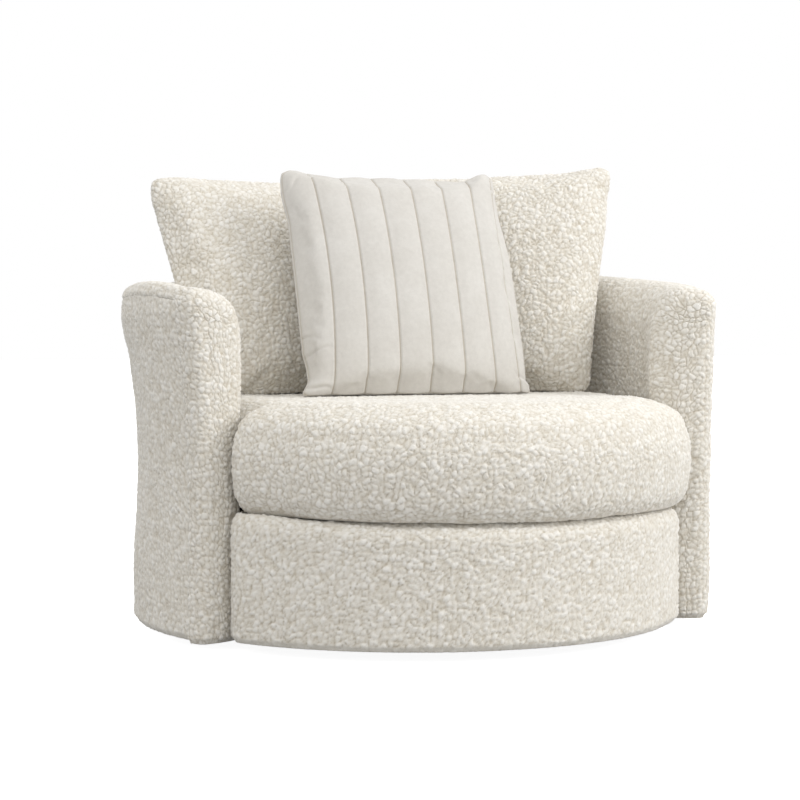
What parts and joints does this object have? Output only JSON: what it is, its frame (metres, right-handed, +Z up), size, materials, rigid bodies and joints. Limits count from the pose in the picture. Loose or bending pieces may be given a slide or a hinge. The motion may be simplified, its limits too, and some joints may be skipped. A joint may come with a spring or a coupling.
{
  "type": "cuddle chair",
  "caption": "Round swivel cuddle chair: an upholstered barrel of arms and back round a drum seat, with a thick seat cushion, loose back cushions and a channelled scatter cushion.",
  "frame": {"origin": "on the floor under the swivel's axis, at the middle of the centre glide", "axes": "+Z up along the swivel's axis, -Y towards the front of the seat, +X to the viewer's right"},
  "size_m": [1.212, 1.149, 0.9448],
  "materials": {
    "boucle": "cream looped boucle with round nubs and soft pile",
    "velvet": "smooth off-white velvet with a short nap",
    "plywood": "sawn birch plywood, unfinished",
    "beech": "planed hardwood, unfinished",
    "bearing_steel": "zinc-plated pressed steel",
    "black_steel": "satin black powder coat",
    "spring_steel": "drawn spring wire, slightly oiled",
    "glide_plastic": "moulded nylon",
    "pad_cloth": "plain deck cloth over a felt pad",
    "dust_cloth": "black non-woven dust cloth"
  },
  "bodies": {
    "swivel_base": {"base_frame": "black_steel", "glide_front": "glide_plastic", "glide_right": "glide_plastic", "glide_back": "glide_plastic", "glide_left": "glide_plastic", "centre_glide": "glide_plastic", "lower_bearing_plate": "bearing_steel", "base_bolt_1": "bearing_steel", "base_bolt_2": "bearing_steel", "base_bolt_3": "bearing_steel", "base_bolt_4": "bearing_steel", "pivot_bolt": "bearing_steel", "pivot_nut": "bearing_steel"},
    "bearing_cage": {"ball_cage": "bearing_steel"},
    "chair": {"upper_bearing_plate": "bearing_steel", "frame_bolt_1": "bearing_steel", "frame_bolt_2": "bearing_steel", "frame_bolt_3": "bearing_steel", "frame_bolt_4": "bearing_steel", "base_ring": "plywood", "side_rail": "beech", "front_to_back_rail": "beech", "front_panel": "plywood", "front_post_right": "beech", "front_post_left": "beech", "arm_board_right": "plywood", "rib_side_right": "plywood", "rib_rear_right": "plywood", "rib_back": "plywood", "rib_rear_left": "plywood", "rib_side_left": "plywood", "arm_board_left": "plywood", "top_hoop": "plywood", "seat_deck_ring": "plywood", "zigzag_spring_1": "spring_steel", "zigzag_spring_2": "spring_steel", "zigzag_spring_3": "spring_steel", "zigzag_spring_4": "spring_steel", "zigzag_spring_5": "spring_steel", "tie_wire_front": "spring_steel", "tie_wire_rear": "spring_steel", "deck_pad": "pad_cloth", "inside_cover": "boucle", "outside_cover": "boucle", "arm_facing_right": "boucle", "arm_facing_left": "boucle", "drum_cover": "boucle", "dust_cover": "dust_cloth"},
    "seat_cushion": {"seat_cushion": "boucle"},
    "back_cushion_left": {"back_cushion_left": "boucle"},
    "back_cushion_right": {"back_cushion_right": "boucle"},
    "scatter_cushion": {"scatter_cushion": "velvet"}
  },
  "joints": [
    {"name": "swivel", "type": "hinge", "parent": "swivel_base", "child": "chair", "pos_m": [0, 0, 0], "axis": [0, 0, 1], "continuous": true},
    {"name": "cage_turn", "type": "hinge", "parent": "swivel_base", "child": "bearing_cage", "pos_m": [0, 0, 0], "axis": [0, 0, 1], "continuous": true},
    {"name": "seat_cushion_lift", "type": "slide", "parent": "chair", "child": "seat_cushion", "axis": [0, 0, 1], "range_m": [0, 0.5]},
    {"name": "back_cushion_left_lift", "type": "slide", "parent": "seat_cushion", "child": "back_cushion_left", "axis": [0, 0.3746, 0.9272], "range_m": [0, 0.32]},
    {"name": "back_cushion_right_lift", "type": "slide", "parent": "seat_cushion", "child": "back_cushion_right", "axis": [0, 0.3746, 0.9272], "range_m": [0, 0.32]},
    {"name": "scatter_cushion_lift", "type": "slide", "parent": "seat_cushion", "child": "scatter_cushion", "axis": [0, -0.5, 0.866], "range_m": [0, 0.4]}
  ],
  "couplings": [
    {"joint": "cage_turn", "follows": "swivel", "ratio": 0.5}
  ]
}
